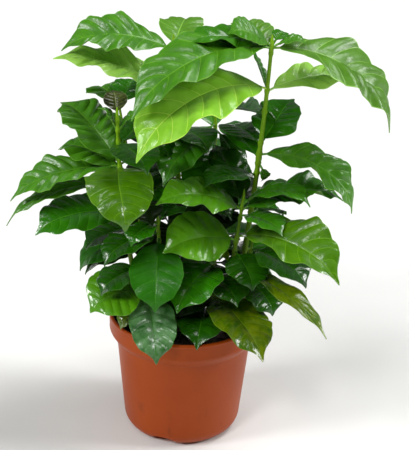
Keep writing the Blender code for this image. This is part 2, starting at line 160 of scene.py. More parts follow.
SEEDLINGS = (
    Seedling("right", (38, 6), (57, 0, 316), (3, 0), 2.6, 136, (
        Leaf(311, 211, -18, 128, 50, 32, "fresh", -10, ruffle=1.5),
        Leaf(311, 355, -31, 119, 54, 39, "light", 15, ruffle=1.3),
        Leaf(312, 205, 24, 38, 33, 18, "fresh", -25, ruffle=0.2),
        Leaf(311, 196, 6, 68, 29, 20, "mid", -15, ruffle=1.5),
        Leaf(309, 128, 18, 46, 32, 30, "light", ruffle=0.4),
        Leaf(312, 40, 40, 18, 14, 15, "mid", 10, ruffle=0.4),
        Leaf(311, 345, 30, 27, 15, 20, "fresh", 10, ruffle=0.5),
        Leaf(281, 216, -17, 130, 54, 38, "painted_backlight_lime", -18, ruffle=1.9),
        Leaf(279, 22, -2, 94, 34, 27, "pale", 15, ruffle=1.6),
        Leaf(280, 105, 30, 46, 20, 10, "mid", 50),
        Leaf(238, 42, 47, 45, 47, 0, "deep"),
        Leaf(224, 318, -58, 16, 11, 20, "fresh"),
        Leaf(262, 136, -9, 50, 36, 12, "painted_sheen", ruffle=1.6),
        Leaf(230, 344, -25, 93, 38, 42, "fresh", 13, ruffle=2.2),
        Leaf(227, 120, 9, 70, 22, 12, "deep", -10),
        Leaf(186, 70, -6, 66, 38, 20, "deep"),
        Leaf(184, 25, -8, 32, 30, 20, "deep"),
        Leaf(150, 40, -10, 64, 36, 20, "deep"),
        Leaf(145, 12, -14, 40, 34, 20, "dark"),
        Leaf(146, 105, -15, 60, 34, 20, "deep"),
    )),
    Seedling("centre_right", (30, -6), (42, -12, 203), (0, 0), 2.2, 138, (
        Leaf(191, 207, 14, 76, 36, 25, "glossy", -20, ruffle=1.6),
        Leaf(194, 338, 12, 62, 22, 45, "mid", 10, ruffle=1.8),
        Leaf(190, 6, 8, 84, 38, 30, "mid", 10, ruffle=2.0),
        Leaf(194, 112, 41, 58, 34, 10, "dark"),
        Leaf(186, 320, -2, 42, 32, 22, "mid"),
        Leaf(165, 209, 3, 65, 44, 24, "glossy", -35, ruffle=0.6),
        Leaf(168, 320, -4, 100, 49, 32, "bright", 14, fold=24, ruffle=1.5),
        Leaf(156, 294, -24, 40, 36, 20, "dark"),
        Leaf(143, 320, -16, 98, 20, 20, "olive", ruffle=1.5),
    )),
    Seedling("left", (-33, 2), (-53, -6, 261), (-4, 0), 2.3, 170, (
        Leaf(221, 143, 35, 72, 55, 15, "fresh", ruffle=1.2),
        Leaf(217, 160, 14, 56, 42, 26, "fresh", -10, ruffle=1.2),
        Leaf(220, 191, -14, 88, 38, 20, "fresh", -10, ruffle=1.3),
        Leaf(206, 186, -18, 99, 24, 28, "fresh", -8, sweep=14, ruffle=1.2),
        Leaf(218, 281, -23, 72, 50, 42, "bright", sweep=-15, ruffle=1.3),
        Leaf(221, 50, -3, 36, 34, 20, "deep"),
        Leaf(181, 205, -3, 74, 44, 25, "deep", -20),
        Leaf(180, 12, -8, 38, 30, 20, "dark"),
        Leaf(257, 105, 56, 24, 18, 6, "bronze"),
        Leaf(246, 175, 62, 24, 12, 10, "fresh"),
        Leaf(246, 10, 52, 24, 12, 10, "fresh"),
        Leaf(236, 50, 22, 46, 34, 12, "dark"),
    )),
    Seedling("middle", (-15, -8), (-22, -24, 190), (0, 0), 2.0, 128, (
        Leaf(170, 269, -40, 62, 40, 22, "matte", ruffle=0.6),
        Leaf(174, 218, -12, 54, 36, 25, "dark"),
        Leaf(183, 235, -8, 36, 24, 25, "deep"),
    )),
    Seedling("back", (-6, 34), (-14, 40, 306), (2, 0), 2.5, 180, (
        Leaf(298, 190, 3, 90, 44, 28, "fresh", -18, ruffle=1.5),
        Leaf(300, 80, 14, 60, 35, 20, "light", ruffle=0.8),
        Leaf(298, 305, 5, 50, 28, 20, "light", ruffle=0.6),
        Leaf(267, 190, 18, 98, 35, 14, "pale", -25, ruffle=2.0),
        Leaf(228, 165, -5, 60, 36, 20, "deep"),
        Leaf(214, 120, -8, 56, 34, 20, "deep"),
        Leaf(224, 60, -3, 56, 34, 20, "deep"),
        Leaf(208, 205, -13, 38, 32, 20, "deep"),
        Leaf(200, 233, -13, 56, 42, 20, "deep"),
        Leaf(186, 270, -6, 46, 32, 20, "inner"),
        Leaf(197, 325, -20, 60, 34, 20, "dark"),
    )),
    Seedling("low_centre", (16, -2), (22, -8, 150), (0, 0), 1.9, 100, (
        Leaf(117, 302, -14, 82, 47, 20, "olive"),
        Leaf(107, 262, -5, 62, 40, 25, "dark"),
        Leaf(145, 241, -15, 62, 47, 20, "deep"),
        Leaf(134, 312, -5, 46, 36, 20, "dark"),
    )),
    Seedling("low_left", (-26, -22), (-32, -28, 150), (0, 0), 1.8, 104, (
        Leaf(130, 211, -8, 50, 48, 25, "glossy", -20, ruffle=0.35),
        Leaf(126, 282, -30, 64, 36, 25, "painted_sheen", ruffle=1.5),
        Leaf(148, 215, -10, 42, 36, 25, "dark"),
        Leaf(114, 215, -20, 29, 20, 18, "olive"),
    )),
    Seedling("low_right", (44, -2), (51, -10, 174), (0, 0), 1.9, 118, (
        Leaf(157, 322, -13, 57, 44, 22, "dark"),
        Leaf(132, 308, -30, 40, 38, 20, "dark"),
    )),
    Seedling("back_left", (-24, 30), (-55, 34, 258), (0, 0), 2.0, 120, (
        Leaf(254, 128, 22, 34, 38, 18, "fresh"),
        Leaf(254, 66, 36, 34, 30, 15, "deep"),
        Leaf(208, 60, -10, 50, 42, 20, "mid"),
        Leaf(196, 150, -5, 74, 38, 20, "mid"),
        Leaf(150, 200, -22, 62, 46, 25, "matte"),
        Leaf(162, 285, -12, 44, 38, 20, "inner"),
        Leaf(156, 218, -8, 52, 44, 20, "dark"),
        Leaf(140, 202, -15, 56, 36, 20, "dark"),
        Leaf(152, 120, -10, 64, 36, 20, "inner"),
    )),
    Seedling("back_right", (24, 34), (20, 46, 244), (0, 0), 2.2, 118, (
        Leaf(240, 232, -26, 75, 38, 18, "mid"),
        Leaf(227, 258, -33, 60, 42, 20, "deep"),
        Leaf(236, 305, -40, 46, 20, 15, "dark"),
        Leaf(234, 88, 5, 70, 36, 20, "mid"),
        Leaf(197, 145, -10, 56, 34, 20, "deep"),
        Leaf(206, 70, 0, 70, 38, 20, "deep"),
        Leaf(166, 30, 0, 62, 40, 20, "deep"),
        Leaf(178, 235, -10, 60, 36, 20, "inner"),
        Leaf(187, 286, -20, 34, 28, 20, "inner"),
        Leaf(176, 272, -12, 36, 38, 20, "inner"),
        Leaf(126, 255, -15, 36, 34, 20, "dark"),
        Leaf(122, 290, -12, 42, 32, 20, "dark"),
        Leaf(124, 347, -8, 56, 34, 20, "dark"),
        Leaf(176, 75, -5, 72, 38, 20, "deep"),
        Leaf(144, 215, -10, 60, 40, 20, "dark"),
        Leaf(148, 15, -8, 66, 36, 20, "dark"),
    )),
)

# Leaves on short inner twigs, which the solids leave out. Coffee leaves stand in pairs, each pair turned a
# quarter from the one below, and of a pair the leaf that grows into the crown is kept.
INNER_HEIGHTS = range(118, 246, 24)
INNER_START = 30
INNER_RISE = -6
INNER_LENGTH = 50
INNER_WIDTH = 36
INNER_ARCH = 16
INNER_RUFFLE = 0.3
# Inner leaves below this height take the nearly black tone, a painted shade of the deep crown.
PAINTED_SHADE_BELOW = 200


def deg_direction(azimuth, rise):
    """The unit vector that points to an azimuth and rises by an angle."""
    flat = math.cos(math.radians(rise))
    turn = math.radians(azimuth)
    return Vector((flat * math.cos(turn), flat * math.sin(turn), math.sin(math.radians(rise))))


def stem_point(seedling, height):
    """The middle of a seedling's stem at a height above the pot's underside."""
    top = Vector(seedling.top)
    foot = Vector((*seedling.foot, SOIL_LEVEL + GAP))
    share = (height - foot.z) / (top.z - foot.z)
    bend = 4 * share * (1 - share)
    point = foot.lerp(top, share)
    return point + Vector((*seedling.bow, 0)) * bend


def stem_radius(seedling, height):
    """The stem's radius: a flared foot, then a slow taper to the tip."""
    top = seedling.top[2]
    above = height - SOIL_LEVEL
    taper = 1 - (1 - TIP_SHARE) * above / (top - SOIL_LEVEL)
    return seedling.girth * (taper + FLARE * math.exp(-3 * above / FLARE_HEIGHT))


def blade_half_width(share):
    """The half width of a coffee leaf at a share of its blade, as a share of the widest."""
    body = math.sin(math.pi * share**0.88) ** 0.8 if 0 < share < 1 else 0.0
    ease = min(max((share - 0.7) / 0.25, 0.0), 1.0)
    return body * (1 - 0.5 * ease * ease * (3 - 2 * ease))


def leaf_frames(seedling, leaf, distances):
    """The midrib's point, side and normal at each distance from the stem's middle."""
    step = leaf.length / MIDRIB_STEPS
    point = stem_point(seedling, leaf.height)
    midrib = [point]
    for number in range(MIDRIB_STEPS):
        share = (number + 0.5) / MIDRIB_STEPS
        before_middle = 1 - 2 * share
        azimuth = leaf.azimuth + leaf.sweep * before_middle
        point = point + deg_direction(azimuth, leaf.rise + leaf.arch * before_middle) * step
        midrib.append(point)
    frames = []
    for distance in distances:
        place = min(distance / step, MIDRIB_STEPS - 0.001)
        low = int(place)
        before_middle = 1 - 2 * distance / leaf.length
        spot = midrib[low].lerp(midrib[low + 1], place - low)
        azimuth = leaf.azimuth + leaf.sweep * before_middle
        along = deg_direction(azimuth, leaf.rise + leaf.arch * before_middle)
        flat_side = deg_direction(azimuth - 90, 0)
        up = flat_side.cross(along)
        roll = math.radians(leaf.roll)
        side = flat_side * math.cos(roll) - up * math.sin(roll)
        frames.append((spot, side, side.cross(along)))
    return frames


def leaf_body(seedling, leaf, extra=0.0):
    """A coarse leaf as points and faces, which only finds the leaf's place among the others."""
    blade = leaf.length - PETIOLE
    distances = [0.0] + [PETIOLE + blade * share for share in BLADE_STATIONS]
    halves = [PETIOLE_HALF]
    halves += [max(leaf.width / 2 * blade_half_width(share), DRIP_TIP_HALF) for share in BLADE_STATIONS]
    fold = math.radians(leaf.fold)
    points = []
    for (spot, side, normal), half in zip(leaf_frames(seedling, leaf, distances), halves):
        half += extra
        reach = side * (half * math.cos(fold))
        lift = normal * (half * math.sin(fold))
        thick = normal * (THICKNESS / 2 + extra)
        edges = (spot - reach + lift, spot, spot + reach + lift)
        points += [edge + thick for edge in edges]
        points += [edge - thick for edge in reversed(edges)]
    faces = []
    for ring in range(len(distances) - 1):
        for corner in range(6):
            a = ring * 6 + corner
            b = ring * 6 + (corner + 1) % 6
            faces.append((a, b, b + 6, a + 6))
    last = len(points) - 6
    faces += [(0, 5, 4, 1), (1, 4, 3, 2)]
    faces += [(last, last + 1, last + 4, last + 5), (last + 1, last + 2, last + 3, last + 4)]
    return points, faces


def tube(centres, radii, sides):
    """A closed tube of level rings as points and faces."""
    points = []
    for centre, radius in zip(centres, radii):
        for number in range(sides):
            turn = 2 * math.pi * number / sides
            points.append(centre + Vector((radius * math.cos(turn), radius * math.sin(turn), 0)))
    faces = [tuple(reversed(range(sides)))]
    for ring in range(len(centres) - 1):
        for number in range(sides):
            a = ring * sides + number
            b = ring * sides + (number + 1) % sides
            faces.append((a, b, b + sides, a + sides))
    faces.append(tuple(range(len(points) - sides, len(points))))
    return points, faces


def stem_body(seedling):
    """The coarse bare part of a stem, from the soil to where it enters its mass of leaves."""
    low = SOIL_LEVEL + GAP
    high = seedling.crown - GAP
    shares = [(number / (STEM_RINGS - 1)) ** 1.5 for number in range(STEM_RINGS)]
    heights = [low + (high - low) * share for share in shares]
    centres = [stem_point(seedling, height) for height in heights]
    return tube(centres, [stem_radius(seedling, height) for height in heights], STEM_SIDES)


def twig_body(seedling):
    """The coarse leafy part of a stem, with a pointed bud at its tip."""
    low = seedling.crown
    high = seedling.top[2]
    count = max(2, round((high - low) / TWIG_STEP))
    heights = [low + (high - low) * number / count for number in range(count + 1)]
    centres = [stem_point(seedling, height) for height in heights]
    radii = [stem_radius(seedling, height) for height in heights]
    centres.append(centres[-1] + Vector((0, 0, BUD_LENGTH)))
    radii.append(BUD_RADIUS)
    return tube(centres, radii, TWIG_SIDES)


def blade_of(body):
    """A leaf's body without its stalk, which may meet the stalks beside it at the stem."""
    points, faces = body
    return points, [face for face in faces if min(face) >= STALK_POINTS]


def effort(change):
    """How far a change of rise and azimuth moves a leaf; the smallest is tried first."""
    return (abs(change[0]) + abs(change[1]), change)


def tree_of(bodies):
    """One search tree over several bodies."""
    points = []
    faces = []
    for body_points, body_faces in bodies:
        start = len(points)
        points += body_points
        faces += [tuple(start + corner for corner in face) for face in body_faces]
    return BVHTree.FromPolygons(points, faces) if faces else None


def partners(seedling, chance):
    """The missing leaves at the back, each opposite a listed leaf that stands alone at its height."""
    added = []
    for leaf in seedling.leaves:
        opposite = (leaf.azimuth + 180) % 360
        taken = not PARTNER_AZIMUTHS[0] < opposite < PARTNER_AZIMUTHS[1]
        for other in (*seedling.leaves, *added):
            apart = abs((other.azimuth - opposite + 180) % 360 - 180)
            taken = taken or (abs(other.height - leaf.height) < SAME_NODE and apart < SAME_SIDE)
        if not taken:
            added.append(leaf._replace(
                azimuth=opposite + chance.uniform(-PARTNER_TURN, PARTNER_TURN),
                rise=chance.uniform(*PARTNER_RISE),
                length=leaf.length * chance.uniform(*PARTNER_LENGTH),
                roll=0,
            ))
    return added


def inner_leaves(seedling):
    """The leaves of a seedling's inner twigs, which point into the crown."""
    found = []
    for number, height in enumerate(INNER_HEIGHTS):
        if height > seedling.top[2] - BUD_LENGTH:
            break
        stem = stem_point(seedling, height)
        for side in (0, 180):
            azimuth = INNER_START + 90 * number + side
            # Low leaves take the nearly black painted-shade tone, and higher ones the dark green one.
            tone = "inner" if height < PAINTED_SHADE_BELOW else "dark"
            if deg_direction(azimuth, 0).dot(Vector((-stem.x, -stem.y, 0))) > 0:
                found.append(Leaf(
                    height, azimuth, INNER_RISE, INNER_LENGTH, INNER_WIDTH, INNER_ARCH, tone,
                    ruffle=INNER_RUFFLE,
                ))
    return found


def placed_leaves():
    """Each seedling's leaves, turned by small steps until they clear what is already there, or skipped.
    The listed leaves are placed first, then those added opposite them, then the inner ones."""
    chance = random.Random(SEED)
    solid = {seedling.name: [stem_body(seedling), twig_body(seedling)] for seedling in SEEDLINGS}
    blades = {seedling.name: [] for seedling in SEEDLINGS}
    kept = {seedling.name: [] for seedling in SEEDLINGS}
    pot_axis = [Vector((0, 0, 0)), Vector((0, 0, POT_HEIGHT))]
    rim = tree_of([tube(pot_axis, [RIM_RADIUS, RIM_RADIUS], RIM_SIDES)])
    waiting = [(seedling, leaf) for seedling in SEEDLINGS for leaf in seedling.leaves]
    waiting += [(seedling, leaf) for seedling in SEEDLINGS for leaf in partners(seedling, chance)]
    waiting += [(seedling, leaf) for seedling in SEEDLINGS for leaf in inner_leaves(seedling)]
    changes = sorted(((lift, turn) for lift in LIFTS for turn in TURNS), key=effort)
    for seedling, leaf in waiting:
        others = tree_of([body for name in solid if name != seedling.name for body in solid[name]])
        own = tree_of(blades[seedling.name])
        for lift, turn in changes:
            tried = leaf._replace(azimuth=leaf.azimuth + turn, rise=leaf.rise + lift)
            guard = tree_of([leaf_body(seedling, tried, CLEARANCE)])
            if guard.overlap(others) or guard.overlap(rim):
                continue
            if own and tree_of([blade_of(leaf_body(seedling, tried))]).overlap(own):
                continue
            kept[seedling.name].append(tried)
            solid[seedling.name].append(leaf_body(seedling, tried))
            blades[seedling.name].append(blade_of(solid[seedling.name][-1]))
            break
    return kept


# Materials

def linear(colour):
    """An sRGB hex colour as linear RGBA."""
    values = [int(colour[place:place + 2], 16) / 255 for place in (1, 3, 5)]
    values = [v / 12.92 if v <= 0.04045 else ((v + 0.055) / 1.055) ** 2.4 for v in values]
    return (*values, 1.0)


def new_material(name):
    """An empty node material with its shader, and the Object coordinates that its patterns read."""
    material = bpy.data.materials.new(name)
    material.use_nodes = True
    tree = material.node_tree
    shader = tree.nodes["Principled BSDF"]
    place = tree.nodes.new("ShaderNodeTexCoord").outputs["Object"]
    return material, tree, shader, place


def fill(node, **settings):
    """Sets a node's inputs, named with _ for a space, and its other settings."""
    for name, value in settings.items():
        label = name.replace("_", " ")
        if label in node.inputs:
            node.inputs[label].default_value = value
        else:
            setattr(node, name, value)


def add(tree, kind, links=(), **settings):
    """A node with its settings, and with links from outputs to its inputs."""
    node = tree.nodes.new(kind)
    fill(node, **settings)
    for source, target in links:
        tree.links.new(source, node.inputs[target])
    return node


def ramp_of(tree, source, stops):
    """A colour ramp over a source, from (position, hex colour) stops."""
    ramp = add(tree, "ShaderNodeValToRGB", [(source, "Fac")])
    elements = ramp.color_ramp.elements
    while len(elements) < len(stops):
        elements.new(0.5)
    for element, (position, colour) in zip(elements, stops):
        element.position = position
        element.color = linear(colour)
    return ramp.outputs["Color"]


def paint(tree, shader, source, stops):
    """Gives a shader the colours of a ramp over a source."""
    tree.links.new(ramp_of(tree, source, stops), shader.inputs["Base Color"])


def noise_of(tree, place, scale, detail, roughness=0.5):
    """Noise in space, with so many grains to the unit of place."""
    sizes = {"Scale": scale, "Detail": detail, "Roughness": roughness}
    return add(tree, "ShaderNodeTexNoise", [(place, "Vector")], **sizes).outputs["Fac"]


def share_of(tree, source, start, end, least=0.0, most=1.0):
    """How far a source has come from start to end, as a number from least to most."""
    span = add(tree, "ShaderNodeMapRange", [(source, "Value")])
    fill(span, From_Min=start, From_Max=end, To_Min=least, To_Max=most)
    return span.outputs["Result"]


def roughen(tree, shader, source, strength, distance):
    """Bumps on a shader's surface; distance is how high a source of 1 stands, in metres."""
    bump = add(tree, "ShaderNodeBump", [(source, "Height")], Strength=strength, Distance=distance)
    tree.links.new(bump.outputs["Normal"], shader.inputs["Normal"])
    return bump.outputs["Normal"]


THIN_WAX = (0.15, 0.35)  # a coat between these two lets the skin shine through
THIN_WAX_SHINE, SHINE = 0.5, 0.25
UNDER_ROUGHNESS, UNDER_COAT = 0.55, 0.05
MOTTLE_STOPS = (0.35, 0.65)


def leaf_material(name, shades, roughness, coat, coat_roughness=0.16):
    """Living leaf: a waxy skin over green tissue. The wax gives soft white glints, the tissue a slight
    mottling about 12 mm across, and the skin is finely crumpled between its smallest veins."""
    material, tree, shader, place = new_material(name)
    # For one tone the paler shade of this mottling is a painted highlight: whitish patches of reflected
    # light.
    mottle_and_painted_sheen = noise_of(tree, place, 85.0, 4.0, 0.65)
    paint(tree, shader, mottle_and_painted_sheen, tuple(zip(MOTTLE_STOPS, shades)))
    shine = THIN_WAX_SHINE if THIN_WAX[0] < coat < THIN_WAX[1] else SHINE
    fill(shader, Roughness=roughness, IOR=1.42, Specular_IOR_Level=shine)
    fill(shader, Coat_Weight=coat, Coat_Roughness=coat_roughness)
    normal = roughen(tree, shader, noise_of(tree, place, 420.0, 3.0, 0.55), 0.45, 0.0006)
    tree.links.new(normal, shader.inputs["Coat Normal"])
    return material


# Of each tone: two shades of the face, of the veins and of the underside, how strongly the blade is quilted
# between its side veins (old leaves are nearly flat), roughness, coat, and the coat's roughness.
TONES = {
    # This tone is brighter than the leaf itself: painted light, standing in for light that shines through the
    # leaf from behind.
    "painted_backlight_lime": (("#80C028", "#92CE40"), ("#B4E250", "#BEE85C"), ("#8CB050", "#98BA5C"), 0.4, 0.38, 0.4),
    # This tone is brighter than the leaf itself: painted light on leaves that lie in the shade of the leaves
    # above them.
    "pale": (("#96D048", "#A8DC60"), ("#B2E276", "#BCE880"), ("#86A85C", "#92B468"), 1.0, 0.44, 0.2),
    "light": (("#487A0C", "#588E20"), ("#78AE3A", "#84B846"), ("#7C9F54", "#88AA60"), 1.0, 0.42, 0.25),
    "bright": (("#3C6E02", "#4E8004"), ("#5E9014", "#6A9C1E"), ("#78983E", "#84A34A"), 0.35, 0.36, 0.8),
    "fresh": (("#387604", "#4A8A10"), ("#5C9820", "#68A22C"), ("#6F9546", "#7BA052"), 1.1, 0.40, 0.3),
    "mid": (("#2E6E04", "#3C800E"), ("#4C8A1A", "#589626"), ("#5F8838", "#6B9344"), 0.8, 0.34, 0.5),
    "deep": (("#226600", "#2E7604"), ("#3C8010", "#488C1A"), ("#4E7A2A", "#598536"), 0.4, 0.27, 0.8),
    "dark": (("#144600", "#1E5600"), ("#2A6208", "#366E10"), ("#3C6420", "#476F2A"), 0.35, 0.26, 0.7),
    # This tone is nearly black: painted shade, for leaves deep in the crown where little light reaches.
    "inner": (("#061E00", "#0A2600"), ("#0E2E02", "#143604"), ("#1E3A0E", "#244212"), 0.35, 0.34, 0.3),
    "olive": (("#2E5A00", "#667A06"), ("#5C7C10", "#68861A"), ("#688030", "#738A3A"), 0.4, 0.27, 0.7),
    # This tone's paler face shade is a painted highlight: whitish patches of reflected light over dark green.
    "painted_sheen": (("#1A5012", "#5E8A56"), ("#2E6A18", "#387622"), ("#4E7A2A", "#598536"), 0.8, 0.30, 1.0, 0.28),
    "glossy": (("#468608", "#58980E"), ("#5C9820", "#68A22C"), ("#6F9546", "#7BA052"), 0.55, 0.34, 1.0, 0.12),
    "matte": (("#1C5C00", "#246802"), ("#2E700C", "#387A14"), ("#4E7A2A", "#598536"), 0.3, 0.45, 0.15),
    "bronze": (("#0E1206", "#4A5424"), ("#6E7A46", "#7E8A54"), ("#56603A", "#626C46"), 0.3, 0.3, 0.35),
}
FACE, VEIN, UNDER, QUILTING = range(4)


def leaf_materials():
    """The three materials of every tone, in the order that the leaf meshes count them."""
    found = []
    for tone, (face, vein, under, _, roughness, coat, *coat_roughness) in TONES.items():
        for part, shades, rough, wax in (
            ("blade", face, roughness, coat), ("vein", vein, roughness, coat),
            ("underside", under, UNDER_ROUGHNESS, UNDER_COAT),
        ):
            name = f"{tone} coffee leaf {part}"
            found.append(leaf_material(name, shades, rough, wax, *coat_roughness))
    return found


def stem_material():
    """Young coffee bark: green and smooth near the tip, corky and brown near the soil, with fine streaks."""
    material, tree, shader, place = new_material("young green to brown bark")
    height = add(tree, "ShaderNodeSeparateXYZ", [(place, "Vector")]).outputs["Z"]
    streaks = add(tree, "ShaderNodeMapping", [(place, "Vector")], Scale=(900.0, 900.0, 60.0))
    fibre = noise_of(tree, streaks.outputs["Vector"], 1.0, 3.0)
    wander = add(tree, "ShaderNodeMath", [(fibre, 0), (height, 2)], operation="MULTIPLY_ADD")
    wander.inputs[1].default_value = 0.06
    share = share_of(tree, wander.outputs["Value"], 0.11, 0.34)
    paint(tree, shader, share, (
        (0.0, "#3B2C16"), (0.16, "#3E4410"), (0.36, "#5A8008"), (0.62, "#7CAC10"), (1.0, "#80B01C"),
    ))
    fill(shader, Roughness=0.5, IOR=1.45, Specular_IOR_Level=0.25)
    roughen(tree, shader, fibre, 0.5, 0.0003)
    return material


MIX_FIRST, MIX_SECOND, MIX_RESULT = 6, 7, 2  # the places of a Mix node's colour sockets


def pot_material():
    """Injection-moulded polypropylene in terracotta colour: satin, with a faint flow of the pigment, a little
    dried dirt low on the wall, and the fine grain of a spark-eroded mould."""
    material, tree, shader, place = new_material("moulded terracotta polypropylene")
    flow = noise_of(tree, place, 22.0, 4.0, 0.55)
    colours = ramp_of(tree, flow, ((0.3, "#943A04"), (0.7, "#9E4208")))
    height = add(tree, "ShaderNodeSeparateXYZ", [(place, "Vector")]).outputs["Z"]
    low = share_of(tree, height, 0.05, 0.015)
    smear = add(tree, "ShaderNodeMapping", [(place, "Vector")], Scale=(90.0, 90.0, 45.0))
    dirt = share_of(tree, noise_of(tree, smear.outputs["Vector"], 1.0, 3.0), 0.6, 0.72, 0.0, 0.55)
    share = add(tree, "ShaderNodeMath", [(dirt, 0), (low, 1)], operation="MULTIPLY")
    soiled = add(tree, "ShaderNodeMix", data_type="RGBA")
    tree.links.new(share.outputs["Value"], soiled.inputs["Factor"])
    tree.links.new(colours, soiled.inputs[MIX_FIRST])
    soiled.inputs[MIX_SECOND].default_value = linear("#5C2A12")
    tree.links.new(soiled.outputs[MIX_RESULT], shader.inputs["Base Color"])
    tree.links.new(share_of(tree, flow, 0.0, 1.0, 0.36, 0.46), shader.inputs["Roughness"])
    fill(shader, IOR=1.49, Specular_IOR_Level=0.2)
    # Mould grain of 0.1 mm would not show, so it is drawn at 0.8 mm.
    roughen(tree, shader, noise_of(tree, place, 1200.0, 2.0), 0.25, 0.0002)
    return material


def peat_material():
    """Moist white-peat potting mix: nearly black where wet, brown on dry fibres."""
    material, tree, shader, place = new_material("moist peat")
    crumbs = noise_of(tree, place, 420.0, 6.0, 0.7)
    paint(tree, shader, crumbs, ((0.3, "#120B06"), (0.52, "#23160D"), (0.68, "#3B2717"), (0.8, "#5A4028")))
    fill(shader, Roughness=0.92)
    roughen(tree, shader, crumbs, 0.9, 0.0012)
    return material


def floor_material():
    """Matte white studio board."""
    material, tree, shader, place = new_material("matte white board")
    paint(tree, shader, noise_of(tree, place, 9.0, 3.0), ((0.3, "#E4E4E2"), (0.7, "#E8E8E6")))
    fill(shader, Roughness=0.9)
    return material


# Modelling

def start_edit():
    """Edit mode on the primitive that was just added, with all of it selected."""
    bpy.ops.object.mode_set(mode="EDIT")
    bpy.ops.mesh.select_all(action="SELECT")


def end_edit(name, material):
    """Back to object mode, with the piece named, its place in its mesh, and its finish."""
    bpy.ops.mesh.select_all(action="SELECT")
    bpy.ops.mesh.remove_doubles(threshold=0.00001)
    bpy.ops.mesh.normals_make_consistent(inside=False)
    bpy.ops.object.mode_set(mode="OBJECT")
    bpy.ops.object.transform_apply(location=True, rotation=True, scale=True)
    piece = bpy.context.active_object
    piece.name = name
    piece.data.name = name
    piece.data.materials.append(material)
    return piece


def shade(piece, angle):
    """Smooth shading, but for the edges that are sharper than an angle."""
    bpy.ops.object.select_all(action="DESELECT")
    bpy.context.view_layer.objects.active = piece
    piece.select_set(True)
    bpy.ops.object.shade_smooth_by_angle(angle=math.radians(angle))


def pull_up(sides, profile):
    """Edit mode on a disc that is extruded through the (radius, height) points of a profile."""
    radius, height = profile[0]
    bpy.ops.mesh.primitive_circle_add(
        vertices=sides, radius=radius * MM, fill_type="NGON", location=(0, 0, height * MM)
    )
    start_edit()
    for new_radius, new_height in profile[1:]:
        bpy.ops.mesh.extrude_region_move(
            TRANSFORM_OT_translate={"value": (0, 0, (new_height - height) * MM)}
        )
        scale = new_radius / radius
        bpy.ops.transform.resize(value=(scale, scale, 1), center_override=(0, 0, new_height * MM))
        radius, height = new_radius, new_height


def rounded_base(radius, low, round_radius, steps):
    """Points of a quarter circle from the flat base up to the wall."""
    points = []
    for number in range(steps + 1):
        turn = math.radians(90) * number / steps
        across = radius - round_radius + round_radius * math.sin(turn)
        points.append((across, low + round_radius - round_radius * math.cos(turn)))
    return points


def shoulder(offset):
    """Points from the top of the wall, over the thin crease where the next pot of a stack rests, up the
    shoulder to the foot of the rim band."""
    return [(radius - offset, height) for radius, height in SHOULDER]


def raise_slots(piece, thickness):
    """Lifts the base edge over each drain slot into an arch, as the mould does, and all inside it as well."""
    flat = BASE_RADIUS - BASE_ROUND
    for vertex in piece.data.vertices:
        spot = vertex.co / MM
        away = math.hypot(spot.x, spot.y)
        if spot.z > 2 * BASE_ROUND or away < flat + SLOT_START:
            continue
        outside = BASE_ROUND - math.sqrt(max(BASE_ROUND**2 - min(away - flat, BASE_ROUND) ** 2, 0))
        depth = thickness if thickness else (WALL if spot.z > outside + WALL / 2 else 0)
        for number in range(SLOT_COUNT):
            turn = math.atan2(spot.y, spot.x) - math.radians(SLOT_AZIMUTH + 360 * number / SLOT_COUNT)
            across = abs(away * math.sin(turn)) / SLOT_RADIUS
            if math.cos(turn) > 0 and across < 1:
                arch = SLOT_RISE * (1 - across**3) * min((away - flat) / SLOT_FADE, 1)
                vertex.co.z = max(vertex.co.z, (arch + depth) * MM)


def make_pot(material):
    """The pot, pulled up from its base disc: rounded base, wall, shoulder, band, lip, and down inside."""
    band_foot = POT_HEIGHT - RIM_BAND
    outside = rounded_base(BASE_RADIUS, 0, BASE_ROUND, BASE_STEPS) + shoulder(0)
    band = [(BAND_RADIUS + out, band_foot + up) for out, up in BAND_BEAD]
    band += [
        (BAND_RADIUS + BAND_DRAFT, POT_HEIGHT - LIP_HEIGHT - LIP_CREASE),
        (RIM_RADIUS - LIP_OVERHANG, POT_HEIGHT - LIP_HEIGHT),
    ]
    lip = []
    for number in range(LIP_STEPS + 1):
        turn = math.radians(180 * number / LIP_STEPS)
        lip.append((
            RIM_RADIUS - LIP_WIDTH / 2 + LIP_WIDTH / 2 * math.cos(turn),
            POT_HEIGHT - LIP_WIDTH / 2 + LIP_WIDTH / 2 * math.sin(turn),
        ))
    throat = [
        (RIM_RADIUS - LIP_WIDTH, POT_HEIGHT - LIP_HEIGHT),
        (BAND_RADIUS - WALL, POT_HEIGHT - LIP_HEIGHT - WALL),
    ]
    inside = list(reversed(shoulder(WALL)))
    inside += list(reversed(rounded_base(BASE_RADIUS - WALL, WALL, BASE_ROUND - WALL, INSIDE_STEPS)))
    pull_up(POT_STEPS, outside + band + lip + throat + inside)
    pot = end_edit("nursery_pot", material)
    raise_slots(pot, 0)
    shade(pot, angle=35)
    return pot


def ruffled(point):
    """How far a point of the soil's top stands off its level, from layered noise."""
    spot = Vector((point.x / SOIL_LUMP, point.y / SOIL_LUMP, SOIL_SLICE))
    return SOIL_RELIEF * sum(height * noise.noise(spot * finer) for finer, height in SOIL_LAYERS)


